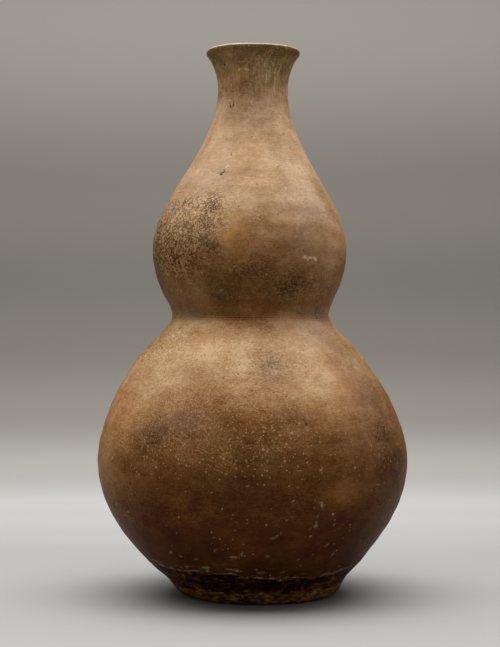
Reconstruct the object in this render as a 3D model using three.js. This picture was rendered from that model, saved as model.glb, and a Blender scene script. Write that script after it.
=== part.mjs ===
// A double gourd vase in burnished earthenware: two bulbs, one on the other, a narrow neck and a flared lip.
// It is built as such a pot is: a foot ring and a base disc, two thrown halves to each bulb, a thrown neck and
// a lip coil. They meet rim to rim, and a soft coil of clay is pressed over each seam from the inside.
// Millimetres, +Z up. The origin is on the floor, under the middle of the lower bulb's widest ring.

import * as THREE from "three";

// Rings of the pot's outside, from the floor up: how far out each one lies, and how far it rises above
// the one before. The first is the edge that the foot stands on.
const CONTACT_RADIUS = 61.5;
const HEEL_STEP = 3.8;
const HEEL_RISE = 2.4;
const ANKLE_STEP = 5.2;
const ANKLE_RISE = 6.6;
const LOWER_RADIUS = 128.4;
const LOWER_RISE = 104;
const SHOULDER_RADIUS = 80.3;
const SHOULDER_RISE = 98;
const WAIST_RADIUS = 65;
const WAIST_RISE = 19;
const UPPER_RADIUS = 80.6;
const UPPER_RISE = 56;
const NECK_RADIUS = 28.9;
const NECK_RISE = 132.5;
const LIP_RADIUS = 38.8;
const LIP_RISE = 28.9;
const CROWN_RISE = 2.6;

// How the wall leans at three of those rings, in degrees from upright, outwards as it rises.
const ANKLE_LEAN = 34;
const SHOULDER_LEAN = -48;
const LIP_LEAN = 33;

// How long each curve follows the lean at its lower and its upper end, as shares of the curve's height.
const BOWL_SHARES = [0.17, 0.54];
const SHOULDER_SHARES = [0.24, 0.42];
const WAIST_SHARES = [0.31, 0.26];
const UPPER_BOWL_SHARES = [0.24, 0.54];
const UPPER_SHOULDER_SHARES = [0.31, 0.37];
const FLARE_SHARES = [0.7, 0.04];

// The pot was thrown by hand, so its rings are not all on one axis: how far to +X each of them is.
const FOOT_OFFSET = 5;
const WAIST_OFFSET = -1.7;
const UPPER_OFFSET = -2.4;
const NECK_OFFSET = 0.1;
const LIP_OFFSET = 0.3;
const FOOT_OFFSET_POWER = 4;

// Thickness of the wall, square to its surface, at the bottom, the middle and the top of the pot.
const BOWL_WALL = 8.5;
const WAIST_WALL = 7.5;
const NECK_WALL = 5.5;
const LIP_WALL = 4.6;

// The foot ring, the base disc and the seams between the thrown pieces.
const FOOT_RING_WIDTH = 10;
const FOOT_RING_BEVEL = 1.5;
const BASE_THICKNESS = 9;
const NECK_SEAM_DROP = 33.5;
const LIP_COIL_HEIGHT = 9;
const LIP_OUTER_ROUND = 1.8;
const LIP_FLAT_WIDTH = 1.4;
const LIP_INNER_ROUND = 1.4;

// The coils of clay pressed over the seams inside, and the gap that a coil keeps to the wall behind it.
const COIL_WIDTH = 18;
const COIL_BULGE = 4.5;
const COIL_EDGE = 1.2;
const BASE_COIL_HEIGHT = 13;
const BASE_COIL_WIDTH = 12;
const NECK_COIL_WIDTH = 13;
const NECK_COIL_BULGE = 3;
const SEAT_GAP = 0.3;

// How finely the solids are faceted, and how near a seam no other ring of facets lies.
const SIDES = 48;
const RING_CLEARANCE = 1.5;

const CLAY = { color: 0x7a4a2c, roughness: 0.5, metalness: 0 };
const SCORCHED_CLAY = { color: 0x2e1c12, roughness: 0.45, metalness: 0 };
const LIP_CLAY = { color: 0x9a7350, roughness: 0.6, metalness: 0 };

const HEEL_RADIUS = CONTACT_RADIUS + HEEL_STEP;
const ANKLE_RADIUS = HEEL_RADIUS + ANKLE_STEP;

const FOOT_HEIGHT = HEEL_RISE + ANKLE_RISE;
const LOWER_HEIGHT = FOOT_HEIGHT + LOWER_RISE;
const SHOULDER_HEIGHT = LOWER_HEIGHT + SHOULDER_RISE;
const WAIST_HEIGHT = SHOULDER_HEIGHT + WAIST_RISE;
const UPPER_HEIGHT = WAIST_HEIGHT + UPPER_RISE;
const NECK_HEIGHT = UPPER_HEIGHT + NECK_RISE;
const LIP_HEIGHT = NECK_HEIGHT + LIP_RISE;
const TOTAL_HEIGHT = LIP_HEIGHT + CROWN_RISE;

const BASE_TOP = FOOT_HEIGHT + BASE_THICKNESS;
const NECK_SEAM_HEIGHT = NECK_HEIGHT - NECK_SEAM_DROP;
const LIP_SEAM_HEIGHT = TOTAL_HEIGHT - LIP_COIL_HEIGHT;

// A curve of the outline between two rings. At each end it leaves its ring along the lean there.
function span(low, high, shares, steps) {
  const rise = high.height - low.height;
  const handle = (ring, share) => {
    const lean = THREE.MathUtils.degToRad(ring.lean);
    return new THREE.Vector2(Math.sin(lean), Math.cos(lean)).multiplyScalar(share * rise);
  };
  const start = new THREE.Vector2(low.radius, low.height);
  const end = new THREE.Vector2(high.radius, high.height);
  const startHandle = start.clone().add(handle(low, shares[0]));
  const endHandle = end.clone().sub(handle(high, shares[1]));
  return { top: high.height, curve: new THREE.CubicBezierCurve(start, startHandle, endHandle, end), steps };
}

const ankle = { radius: ANKLE_RADIUS, height: FOOT_HEIGHT, lean: ANKLE_LEAN };
const lowerBelly = { radius: LOWER_RADIUS, height: LOWER_HEIGHT, lean: 0 };
const shoulder = { radius: SHOULDER_RADIUS, height: SHOULDER_HEIGHT, lean: SHOULDER_LEAN };
const waist = { radius: WAIST_RADIUS, height: WAIST_HEIGHT, lean: 0 };
const upperBelly = { radius: UPPER_RADIUS, height: UPPER_HEIGHT, lean: 0 };
const narrowest = { radius: NECK_RADIUS, height: NECK_HEIGHT, lean: 0 };
const lipEdge = { radius: LIP_RADIUS, height: LIP_HEIGHT, lean: LIP_LEAN };

const OUTLINE = [
  span(ankle, lowerBelly, BOWL_SHARES, 8),
  span(lowerBelly, shoulder, SHOULDER_SHARES, 7),
  span(shoulder, waist, WAIST_SHARES, 4),
  span(waist, upperBelly, UPPER_BOWL_SHARES, 6),
  span(upperBelly, narrowest, UPPER_SHOULDER_SHARES, 9),
  span(narrowest, lipEdge, FLARE_SHARES, 5),
];

// The outline at a height: its radius, and how fast that grows there. Heights rise along every curve,
// so halving the interval finds the place.
const HALVINGS = 40;

function outlineAt(height) {
  const { curve } = OUTLINE.find(({ top }) => height <= top) ?? OUTLINE.at(-1);
  let low = 0;
  let high = 1;
  for (let i = 0; i < HALVINGS; i += 1) {
    const middle = (low + high) / 2;
    if (curve.getPoint(middle).y < height) low = middle;
    else high = middle;
  }
  const tangent = curve.getTangent(low);
  return { radius: curve.getPoint(low).x, slope: tangent.x / tangent.y };
}

// The value at a height in a list of [height, value], along a line or along an eased step.
function between(stations, height, ease = (share) => share) {
  const next = stations.findIndex(([at]) => height <= at);
  if (next === 0) return stations[0][1];
  if (next < 0) return stations.at(-1)[1];
  const [[lowAt, lowValue], [highAt, highValue]] = stations.slice(next - 1, next + 1);
  return THREE.MathUtils.lerp(lowValue, highValue, ease((height - lowAt) / (highAt - lowAt)));
}

const WALL = [
  [LOWER_HEIGHT, BOWL_WALL],
  [WAIST_HEIGHT, WAIST_WALL],
  [UPPER_HEIGHT, WAIST_WALL],
  [NECK_HEIGHT, NECK_WALL],
  [LIP_HEIGHT, LIP_WALL],
];

const OFFSETS = [
  [LOWER_HEIGHT, 0],
  [WAIST_HEIGHT, WAIST_OFFSET],
  [UPPER_HEIGHT, UPPER_OFFSET],
  [NECK_HEIGHT, NECK_OFFSET],
  [LIP_HEIGHT, LIP_OFFSET],
];

// How far to +X the ring at a height is: most at the foot, where the offset falls off fast.
function axisOffset(height) {
  const share = 1 - Math.min(height, LOWER_HEIGHT) / LOWER_HEIGHT;
  const foot = FOOT_OFFSET * share ** FOOT_OFFSET_POWER;
  return foot + between(OFFSETS, height, (t) => THREE.MathUtils.smoothstep(t, 0, 1));
}

// Heights of all rings of facets: the seams, and even steps along the curves where no seam is near.
const SEAMS = [FOOT_HEIGHT, BASE_TOP, LOWER_HEIGHT, WAIST_HEIGHT, UPPER_HEIGHT, NECK_SEAM_HEIGHT];
SEAMS.push(LIP_SEAM_HEIGHT, LIP_HEIGHT);
const STEPS = OUTLINE.flatMap(({ curve, steps }) => curve.getPoints(steps).map(({ y }) => y));
const FREE_STEPS = STEPS.filter((height) => SEAMS.every((at) => Math.abs(at - height) > RING_CLEARANCE));
const RINGS = [...new Set([...SEAMS, ...FREE_STEPS])].sort((a, b) => a - b);

// The faceted wall as lists of [height, radius]. Its inside lies as deep as the wall is thick when
// measured square to the surface.
const OUTSIDE = RINGS.map((height) => [height, outlineAt(height).radius]);
const INSIDE = RINGS.map((height) => {
  const { radius, slope } = outlineAt(height);
  return [height, radius - between(WALL, height) * Math.hypot(1, slope)];
});

// The points of one face of the wall from one height up to another, each set in by a gap.
function face(side, from, to, gap = 0) {
  const heights = [from, ...RINGS.filter((height) => height > from && height < to), to];
  return heights.map((height) => new THREE.Vector2(between(side, height) - gap, height));
}

// A solid turned from a closed outline, with each of its rings set over to its offset.
function turned(name, outline, look) {
  const geometry = new THREE.LatheGeometry(outline, SIDES);
  geometry.rotateX(Math.PI / 2);
  const position = geometry.getAttribute("position");
  for (let i = 0; i < position.count; i += 1) {
    position.setX(i, position.getX(i) + axisOffset(position.getZ(i)));
  }
  const mesh = new THREE.Mesh(geometry, new THREE.MeshStandardMaterial(look));
  mesh.name = name;
  return mesh;
}

// A thrown piece between two seams, with flat rims where it meets its neighbours.
function thrownPiece(name, from, to) {
  const outside = face(OUTSIDE, from, to);
  return turned(name, [...outside, ...face(INSIDE, from, to).reverse(), outside[0]], CLAY);
}

// A coil pressed over a seam from the inside: its back follows the wall and its face bulges.
function seamCoil(name, seam, width, bulge) {
  const bottom = seam - width / 2;
  const back = face(INSIDE, bottom, seam + width / 2, SEAT_GAP);
  const front = back.map(({ x, y }) => {
    const thickness = COIL_EDGE + bulge * Math.sin((Math.PI * (y - bottom)) / width);
    return new THREE.Vector2(x - thickness, y);
  });
  return turned(name, [...back, ...front.reverse(), back[0]], CLAY);
}

const point = (radius, height) => new THREE.Vector2(radius, height);

// The foot ring stands on a narrow flat face, with a rounded-off heel outside it.
function footRing() {
  const innerEdge = CONTACT_RADIUS - FOOT_RING_WIDTH;
  const bevelled = innerEdge - FOOT_RING_BEVEL;
  const outline = [
    point(innerEdge, 0),
    point(CONTACT_RADIUS, 0),
    point(HEEL_RADIUS, HEEL_RISE),
    point(ANKLE_RADIUS, FOOT_HEIGHT),
    point(bevelled, FOOT_HEIGHT),
    point(bevelled, FOOT_RING_BEVEL),
    point(innerEdge, 0),
  ];
  return turned("foot_ring", outline, SCORCHED_CLAY);
}

// The disc lies on the foot ring and closes the bowl, with its edge just inside the bowl's wall.
function baseDisc() {
  const edge = face(INSIDE, FOOT_HEIGHT, BASE_TOP, SEAT_GAP);
  return turned("base_disc", [point(0, FOOT_HEIGHT), ...edge, point(0, BASE_TOP)], CLAY);
}

// The coil that fills the corner between the base disc and the bowl.
function baseCoil() {
  const back = face(INSIDE, BASE_TOP, BASE_TOP + BASE_COIL_HEIGHT, SEAT_GAP);
  const top = back.at(-1);
  const toe = back[0].x - BASE_COIL_WIDTH;
  const front = [point(top.x - COIL_EDGE, top.y), point(toe, BASE_TOP + COIL_EDGE), point(toe, BASE_TOP)];
  return turned("base_luting_coil", [...back, ...front, back[0]], CLAY);
}

// The lip coil: the last stretch of the flare, rounded over to a narrow flat top.
function lipCoil() {
  const flatOuter = LIP_RADIUS - LIP_OUTER_ROUND;
  const flatInner = flatOuter - LIP_FLAT_WIDTH;
  const outside = face(OUTSIDE, LIP_SEAM_HEIGHT, LIP_HEIGHT);
  const over = [
    point(flatOuter + LIP_OUTER_ROUND * Math.SQRT1_2, LIP_HEIGHT + CROWN_RISE * Math.SQRT1_2),
    point(flatOuter, TOTAL_HEIGHT),
    point(flatInner, TOTAL_HEIGHT),
    point(flatInner - LIP_INNER_ROUND * Math.SQRT1_2, TOTAL_HEIGHT - LIP_INNER_ROUND * (1 - Math.SQRT1_2)),
  ];
  const inside = face(INSIDE, LIP_SEAM_HEIGHT, LIP_HEIGHT).reverse();
  return turned("lip_coil", [...outside, ...over, ...inside, outside[0]], LIP_CLAY);
}

const vase = new THREE.Group();
vase.name = "double_gourd_vase";
vase.add(
  footRing(),
  baseDisc(),
  baseCoil(),
  thrownPiece("lower_bulb_bowl", FOOT_HEIGHT, LOWER_HEIGHT),
  seamCoil("lower_bulb_luting_coil", LOWER_HEIGHT, COIL_WIDTH, COIL_BULGE),
  thrownPiece("lower_bulb_shoulder", LOWER_HEIGHT, WAIST_HEIGHT),
  seamCoil("waist_luting_coil", WAIST_HEIGHT, COIL_WIDTH, COIL_BULGE),
  thrownPiece("upper_bulb_bowl", WAIST_HEIGHT, UPPER_HEIGHT),
  seamCoil("upper_bulb_luting_coil", UPPER_HEIGHT, COIL_WIDTH, COIL_BULGE),
  thrownPiece("upper_bulb_shoulder", UPPER_HEIGHT, NECK_SEAM_HEIGHT),
  seamCoil("neck_luting_coil", NECK_SEAM_HEIGHT, NECK_COIL_WIDTH, NECK_COIL_BULGE),
  thrownPiece("neck", NECK_SEAM_HEIGHT, LIP_SEAM_HEIGHT),
  lipCoil(),
);

export default vase;
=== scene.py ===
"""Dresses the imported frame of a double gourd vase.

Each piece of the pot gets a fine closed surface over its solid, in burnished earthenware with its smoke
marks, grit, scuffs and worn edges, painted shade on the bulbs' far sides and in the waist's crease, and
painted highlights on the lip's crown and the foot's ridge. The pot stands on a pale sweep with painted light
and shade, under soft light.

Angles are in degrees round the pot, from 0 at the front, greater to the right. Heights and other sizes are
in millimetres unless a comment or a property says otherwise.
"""

import itertools

import bpy
import numpy as np
from bpy.props import FloatProperty, FloatVectorProperty, IntProperty, PointerProperty
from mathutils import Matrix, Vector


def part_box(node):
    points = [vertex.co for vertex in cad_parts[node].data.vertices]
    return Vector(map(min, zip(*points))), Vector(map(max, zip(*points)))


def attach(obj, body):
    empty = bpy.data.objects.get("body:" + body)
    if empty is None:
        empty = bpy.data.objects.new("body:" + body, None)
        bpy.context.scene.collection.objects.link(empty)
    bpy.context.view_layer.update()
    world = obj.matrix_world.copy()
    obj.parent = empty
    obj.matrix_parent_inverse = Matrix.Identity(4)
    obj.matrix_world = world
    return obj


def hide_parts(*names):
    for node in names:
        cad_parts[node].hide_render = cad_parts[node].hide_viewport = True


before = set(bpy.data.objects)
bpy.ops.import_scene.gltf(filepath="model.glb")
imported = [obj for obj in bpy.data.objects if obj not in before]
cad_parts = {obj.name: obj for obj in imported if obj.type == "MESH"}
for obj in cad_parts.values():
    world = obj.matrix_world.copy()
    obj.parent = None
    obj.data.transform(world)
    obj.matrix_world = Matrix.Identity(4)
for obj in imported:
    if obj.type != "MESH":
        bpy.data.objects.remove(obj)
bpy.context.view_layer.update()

bl_info = {
    "name": "Double Gourd Vase",
    "version": (1, 0, 0),
    "blender": (4, 5, 0),
    "location": "View3D > Sidebar > Vase",
    "description": "Dresses the frame of a double gourd vase in burnished earthenware",
    "category": "Object",
}

BODY = "root"
MM = 0.001
TURN = 2 * np.pi

WALL_NODES = ("lower_bulb_bowl", "lower_bulb_shoulder", "upper_bulb_bowl", "upper_bulb_shoulder", "neck")
BASE_COIL = "base_luting_coil"
COILED_SEAMS = ("lower_bulb", "waist", "upper_bulb", "neck")
COIL_NODES = (BASE_COIL, *(seam + "_luting_coil" for seam in COILED_SEAMS))


def linear(hex_colour):
    """A colour written as sRGB hex, turned to the opaque linear colour that Blender works with."""
    srgb = np.array([int(hex_colour[i:i + 2], 16) for i in (1, 3, 5)]) / 255
    toe = srgb / 12.92
    curve = ((srgb + 0.055) / 1.055) ** 2.4
    return (*map(float, np.where(srgb <= 0.04045, toe, curve)), 1.0)


def colour_property(name, hex_colour, description):
    """A colour that the sidebar shows, from its sRGB hex value."""
    settings = {"size": 4, "subtype": "COLOR", "min": 0, "max": 1}
    return FloatVectorProperty(name=name, description=description, default=linear(hex_colour), **settings)


def amount(name, default, description, **limits):
    """A size or another amount that the sidebar shows."""
    return FloatProperty(name=name, default=default, description=description, **limits)


class VaseClay(bpy.types.PropertyGroup):
    """Colours and finish of the fired clay. The first eight run from darkest to lightest."""

    black: colour_property("Smoked clay", "#180802", "Clay smoked nearly black")
    umber: colour_property("Umber clay", "#3E1B07", "Dark red-brown clay low on the bulbs")
    chestnut: colour_property("Chestnut clay", "#562D12", "Red-brown clay under a waxy patina")
    brown: colour_property("Brown clay", "#71471F", "Brown clay at the turn of the bulbs")
    russet: colour_property("Russet clay", "#916239", "Warm mid brown clay")
    tan: colour_property("Tan clay", "#B3865A", "Fired clay with a light patina")
    buff: colour_property("Buff clay", "#CDA479", "Clean fired clay on the shoulders")
    pale: colour_property("Pale clay", "#DEBA90", "Cleanest clay, where it has been rubbed")
    soot: colour_property("Soot", "#24170D", "Soot in the pores of the surface")
    ochre: colour_property("Ochre blush", "#A66D36", "Orange blush where the fire was clear")
    olive: colour_property("Olive ash", "#74603A", "Grey-green bloom of ash")
    dust: colour_property("Dust", "#A58C7A", "Pinkish dust that dulls the wall")
    scuff: colour_property("Scuffed clay", "#8E7A5A", "Light clay bared by knocks and grit")
    # The worn lip's colour is partly clean worn clay and partly a painted highlight along the crown.
    lip: colour_property("Worn lip", "#EBDDC8", "Pale clay along the worn lip")
    bare: colour_property("Bare clay", "#9A6F4B", "Unburnished clay inside and under the foot")
    gloss: amount("Roughness", 0.46, "Roughness of the burnished wall", min=0, max=1)


class VaseSurface(bpy.types.PropertyGroup):
    """Sizes of the fine surface, in millimetres."""

    cell: amount("Cell", 1.2, "Spacing of the grid's rows outside, mm", min=0.3)
    inner_cell: amount("Inner cell", 4.5, "Spacing of the rows inside, mm", min=0.5)
    columns: IntProperty(name="Columns", description="Grid points around the pot", default=600, min=48)
    front: amount("Front share", 0.3, "How much closer the front columns are", max=0.9)
    ripple: amount("Ripple", 0.14, "Depth of the throwing ripples, mm", min=0)
    dent: amount("Dents", 0.35, "Depth of the hand-smoothed dents, mm", min=0)
    wobble: amount("Wobble", 0.4, "How far the rings are out of round, mm", min=0)
    groove: amount("Grooves", 0.7, "Depth of the finger grooves inside, mm", min=0)
    flake: amount("Flakes", 0.25, "Depth of the flaked spots, mm", min=0)
    pit: amount("Pits", 0.8, "Depth of the small pits, mm", min=0)


class VaseStage(bpy.types.PropertyGroup):
    """The sweep, the lamp, the light of the room and the camera."""

    paper: colour_property("Paper", "#FFFEFC", "Tint of the paper where it lies flat")
    # The upright paper's warmer tint is painted light colour: the sheet is one paper, tinted warmer where it
    # stands upright.
    shade: colour_property("Shaded paper", "#FFF8EB", "Tint of the paper where it stands upright")
    overhead: amount("Overhead lamp", 30.3, "Power of the soft lamp above, W", min=0)
    sky: amount("Room light", 0.14, "Strength of the even light of the room", min=0)
    distance: amount("Distance", 1.2754, "Camera to the pot's axis", unit="LENGTH")
    height: amount("Height", 0.2054, "Camera above the floor", unit="LENGTH")
    side: amount("Side", -0.0022, "Camera to the right of the axis", unit="LENGTH")
    tilt: amount("Tilt", 0.84, "Camera's tilt above level, degrees")
    lens: amount("Lens", 85, "Focal length, mm", min=10)


# A ring of the lip coil belongs to the straight wall where it is thicker than this, and else to the crown.
STRAIGHT_LIP = 2


def node_rings(node):
    """The rings of a turned node as rows of height, centre, greatest and least radius, in millimetres.

    The rings' vertices come in opposite pairs on the x axis, so a ring's centre is midway between them.
    """
    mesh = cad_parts[node].data
    flat = np.empty(len(mesh.vertices) * 3)
    mesh.vertices.foreach_get("co", flat)
    points = flat.reshape(-1, 3) / MM
    rows = []
    for height in np.unique(points[:, 2].round(2)):
        ring = points[np.abs(points[:, 2] - height) < 0.01]
        centre = (ring[:, 0].min() + ring[:, 0].max()) / 2
        radii = np.hypot(ring[:, 0] - centre, ring[:, 1])
        rows.append((height, centre, radii.max(), radii.min()))
    return np.array(rows)


def straight_lip():
    """The rings of the lip coil that are as thick as the wall, below its rounded crown."""
    rings = node_rings("lip_coil")
    return rings[rings[:, 2] - rings[:, 3] > STRAIGHT_LIP]


def smooth_curve(at, values):
    """A natural cubic spline: cubics that pass through the values and share slope and bend at each.

    The bends at the inner knots solve one tridiagonal system. Returns a function of position that gives the
    value, or the slope if asked.
    """
    gap = np.diff(at)
    rise = np.diff(values) / gap
    system = np.diag(np.r_[1, 2 * (gap[:-1] + gap[1:]), 1])
    system += np.diag(np.r_[gap[:-1], 0], -1) + np.diag(np.r_[0, gap[1:]], 1)
    bend = np.linalg.solve(system, np.r_[0, 6 * np.diff(rise), 0])

    def curve(position, slope=False):
        i = np.clip(np.searchsorted(at, position) - 1, 0, len(gap) - 1)
        h = gap[i]
        right = (position - at[i]) / h
        left = 1 - right
        if slope:
            pull = (3 * right**2 - 1) * bend[i + 1] - (3 * left**2 - 1) * bend[i]
            return rise[i] + h * pull / 6
        pull = (left**3 - left) * bend[i] + (right**3 - right) * bend[i + 1]
        return left * values[i] + right * values[i + 1] + h**2 * pull / 6

    return curve


def wall_curves():
    """Outer radius, inner radius and centre of the whole wall as smooth functions of height.

    They pass through the rings of all the thrown pieces and of the lip coil's straight part.
    """
    rows = np.concatenate([*map(node_rings, WALL_NODES), straight_lip()])
    _, first = np.unique(rows[:, 0].round(1), return_index=True)
    height, centre, outer, inner = rows[first].T
    return smooth_curve(height, outer), smooth_curve(height, inner), smooth_curve(height, centre)


OUTER, INNER, CENTRE = wall_curves()
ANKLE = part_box("foot_ring")[1][2] / MM
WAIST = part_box("upper_bulb_bowl")[0][2] / MM
LIP_SEAM, TOP = (corner[2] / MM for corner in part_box("lip_coil"))

# How the real wall departs from the evenly turned one: height, then how much fuller it is and how far it
# sways to the right, all in millimetres.
SWAY = (
    (0, 0, 0), (10, 0, 0.2), (16, -0.3, 0), (22, 0.2, 0), (34, 0, 0), (60, 0, 0.1), (120, -0.1, 0),
    (140, -0.4, -0.1), (155, -0.6, -0.2), (170, -0.8, -0.2), (185, -1.2, -0.3), (196, -0.9, -0.4),
    (208, -0.6, 0), (214, -0.6, 0), (222, 0.2, -0.2), (232, 0, -0.4), (248, 0.3, -0.8), (262, 0.1, -0.5),
    (280, 0, -0.3), (305, 0, -0.3), (340, 0, 0), (380, 0, 0), (400, 0.3, 0), (425, 0.5, 0), (440, 0.6, 0),
    (452, 0.3, 0),
)
FULLER, SWAYED = (smooth_curve(np.transpose(SWAY)[0], part) for part in np.transpose(SWAY)[1:])

# How many random values the noise holds each way before it repeats.
LATTICE = 48


def lattice_noise(points, size, seed):
    """Smooth noise from -1 to 1 at points in millimetres.

    Random values stand on a cubic lattice of that size, and a quintic ease blends the eight around a point.
    """
    table = np.random.default_rng(seed).uniform(-1, 1, (LATTICE,) * 3)
    scaled = points / size
    cell = np.floor(scaled).astype(int)
    part = scaled - cell
    ease = part**3 * (part * (part * 6 - 15) + 10)
    total = np.zeros(points.shape[:-1])
    for corner in itertools.product((0, 1), repeat=3):
        weight = np.where(corner, ease, 1 - ease).prod(-1)
        x, y, z = np.moveaxis((cell + corner) % LATTICE, -1, 0)
        total += weight * table[x, y, z]
    return total


def layered_noise(points, size, seed, layers=3):
    """Lattice noise summed with finer layers, each half as large and half as strong as the last."""
    parts = [lattice_noise(points, size / 2**k, seed + k) / 2**k for k in range(layers)]
    return sum(parts) / sum(0.5**k for k in range(layers))


def wrapped(angle):
    """Degrees brought to -180 to 180."""
    return (angle + 180) % 360 - 180


def step(value, low, high):
    """An eased step from 0 at low to 1 at high."""
    t = np.clip((value - low) / (high - low), 0, 1)
    return t * t * (3 - 2 * t)


def wave(turns):
    """A wave from 0 to 1, once each turn."""
    return 0.5 + 0.5 * np.sin(TURN * turns)


def blots(angle, height, spots):
    """The sum of soft spots, each row an angle, height, half angle, half height and strength.

    A spot is a bell of angle times a bell of height: its strength at its middle, 0.37 of it at its halves.
    """
    total = np.zeros_like(angle)
    for at_angle, at_height, half_angle, half_height, strength in spots:
        across = wrapped(angle - at_angle) / half_angle
        total += strength * np.exp(-across**2 - ((height - at_height) / half_height) ** 2)
    return total


def marks(angle, height, radius, rows):
    """Small marks as a field: 1 at a mark's middle, 0 on its edge and down to -1 outside.

    Each row is an angle, a height, a half length, a half width and a turn in degrees. The field is one less
    the distance from the middle, measured in half sizes.
    """
    field = np.full(angle.shape, -1.0)
    for at_angle, at_height, length, width, turn in rows:
        across = np.radians(wrapped(angle - at_angle)) * radius
        up = height - at_height
        c, s = np.cos(np.radians(turn)), np.sin(np.radians(turn))
        far = np.hypot((across * c + up * s) / length, (up * c - across * s) / width)
        field = np.maximum(field, 1 - far)
    return field


def broken_line(away, half_width, missing):
    """A level line as a field: 1 in its middle, 0 at its half width, less what is missing of it there."""
    return 1 - np.abs(away) / half_width - missing


# How light the clay is at each height, from 0 smoked black to 1 pale.
TONES = (
    (0, 0.48), (9, 0.46), (12, 0.41), (14, 0.28), (20, 0.24), (24, 0.25), (27, 0.28), (45, 0.285),
    (60, 0.32), (75, 0.36), (90, 0.39), (105, 0.47), (120, 0.55), (135, 0.62), (150, 0.69), (165, 0.76),
    (180, 0.85), (195, 0.90), (208, 0.90), (218, 0.88), (224, 0.86), (228, 0.77), (233, 0.64), (240, 0.58),
    (250, 0.56), (262, 0.57), (272, 0.62), (280, 0.68), (295, 0.79), (310, 0.85), (325, 0.88), (340, 0.89),
    (355, 0.93), (370, 0.90), (385, 0.89), (400, 0.85), (410, 0.75), (420, 0.73), (430, 0.72), (440, 0.64),
    (446, 0.62), (452, 0.62),
)
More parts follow.
